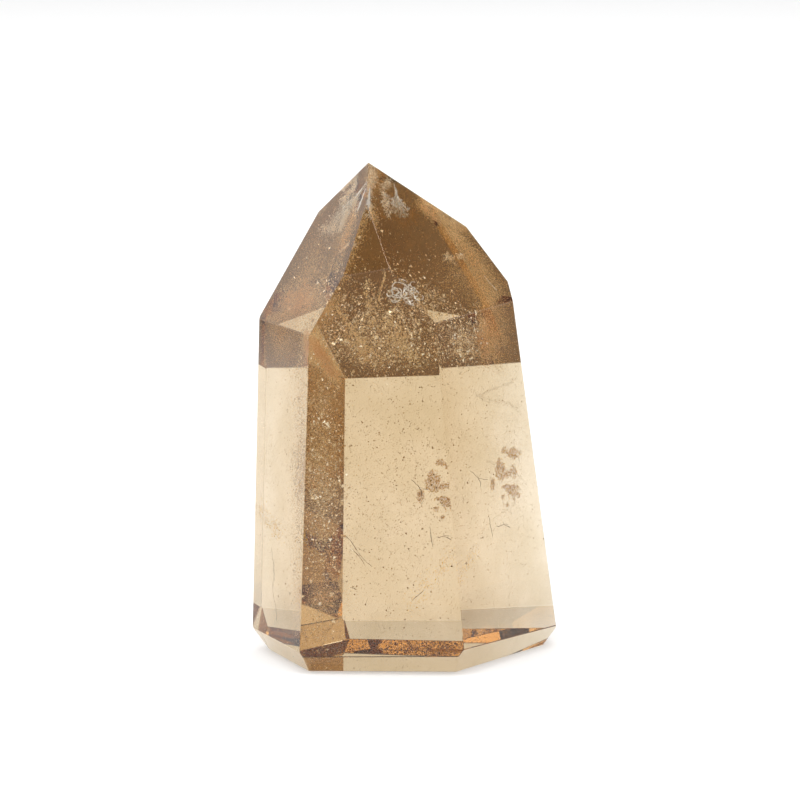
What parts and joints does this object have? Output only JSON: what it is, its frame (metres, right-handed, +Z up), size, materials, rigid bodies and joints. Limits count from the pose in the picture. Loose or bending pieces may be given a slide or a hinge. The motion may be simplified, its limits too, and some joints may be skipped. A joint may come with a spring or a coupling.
{
  "type": "citrine crystal point",
  "caption": "Clear golden quartz crystal point that stands on its sawn foot: tapering six-sided prism under an off-centre six-faced tip.",
  "frame": {"origin": "middle of the bounding box's underside, on the flat sawn foot", "axes": "+Z up along the crystal's height, -Y towards the front prism face, +X to the right of it"},
  "size_m": [0.0544, 0.0432, 0.0883],
  "materials": {
    "citrine": "polished, clear, golden"
  },
  "bodies": {
    "root": {"crystal_point": "citrine"}
  },
  "joints": []
}
